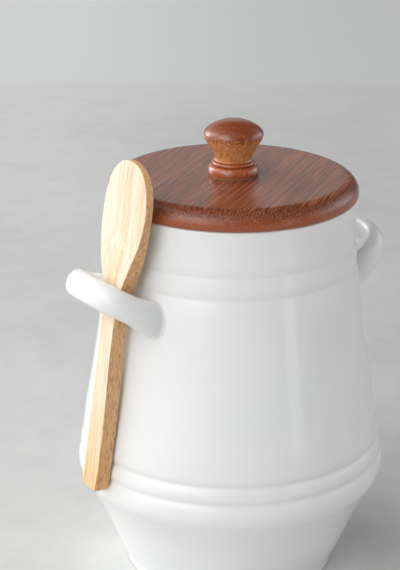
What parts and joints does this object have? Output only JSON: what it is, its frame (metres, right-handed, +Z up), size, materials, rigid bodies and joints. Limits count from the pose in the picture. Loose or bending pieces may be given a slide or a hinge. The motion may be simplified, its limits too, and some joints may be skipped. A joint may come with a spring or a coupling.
{
  "type": "lidded ceramic pot with spreader",
  "caption": "Churn-shaped glazed ceramic pot with two loop handles, a lift-off turned wood lid with a knob, and a wooden spreader carried in one loop.",
  "frame": {"origin": "centre of the foot ring's flat face, on the pot's turning axis", "axes": "+Z up along the turning axis; the loop handles stand on -X and +X; the spreader leans in the -X loop"},
  "size_m": [0.1453, 0.1278, 0.1913],
  "materials": {
    "glaze": "gloss white glaze",
    "lid_wood": "red-brown stained and varnished",
    "knob_wood": "red-brown stained and varnished, lighter on the turned flank",
    "seal": "translucent white silicone",
    "steel": "plain zinc-plated",
    "pale_wood": "sanded, oiled"
  },
  "bodies": {
    "pot": {"pot_body": "glaze", "handle_left": "glaze", "handle_right": "glaze"},
    "lid": {"lid_board": "lid_wood", "seal_ring": "seal", "lid_knob": "knob_wood", "knob_screw": "steel", "knob_washer": "steel"},
    "spatula": {"spatula": "pale_wood"}
  },
  "joints": [
    {"name": "lid_lift", "type": "slide", "parent": "pot", "child": "lid", "axis": [0, 0, 1], "range_m": [0, 0.14]},
    {"name": "spatula_lift", "type": "slide", "parent": "pot", "child": "spatula", "axis": [0.1038, -0.0477, 0.9935], "range_m": [0, 0.1]}
  ]
}
